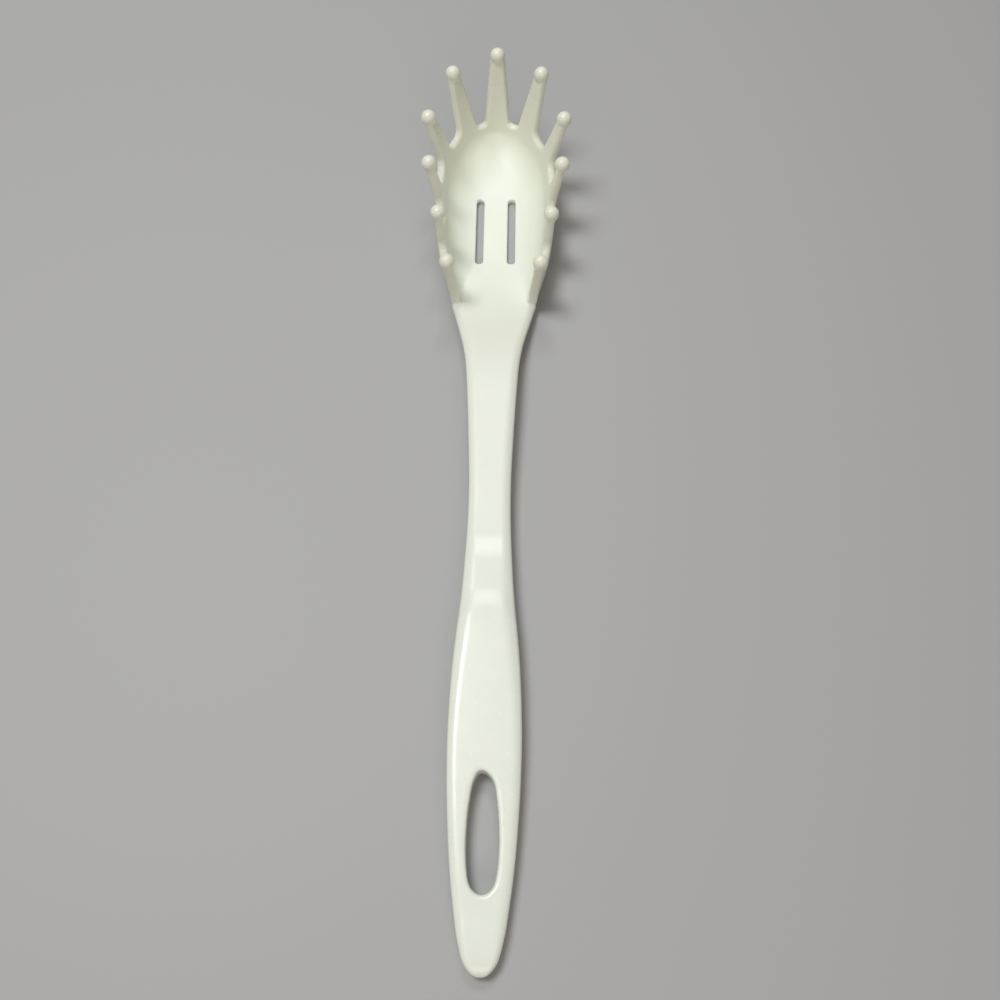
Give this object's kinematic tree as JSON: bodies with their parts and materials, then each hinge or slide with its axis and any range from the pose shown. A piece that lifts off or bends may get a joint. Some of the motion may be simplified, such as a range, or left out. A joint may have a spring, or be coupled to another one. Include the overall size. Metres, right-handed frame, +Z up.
{
  "type": "pasta server",
  "caption": "One-piece moulded pasta server: a long slotted oval bowl ringed by ball-tipped tines, on a slim necked handle with an oval hanging hole.",
  "frame": {"origin": "on the flat under the bowl that it rests on when it lies on its back, between the drain slots", "axes": "+Y runs from the handle to the head, +X is to the right seen from above with the head away, +Z is up out of the bowl"},
  "size_m": [0.0544, 0.3099, 0.0427],
  "materials": {
    "plastic": "semi-gloss ivory moulded plastic"
  },
  "bodies": {
    "root": {"grip": "plastic", "neck": "plastic", "bowl": "plastic", "tine_front": "plastic", "tine_left_1": "plastic", "tine_left_2": "plastic", "tine_left_3": "plastic", "tine_left_4": "plastic", "tine_left_5": "plastic", "tine_right_1": "plastic", "tine_right_2": "plastic", "tine_right_3": "plastic", "tine_right_4": "plastic", "tine_right_5": "plastic"}
  },
  "joints": []
}
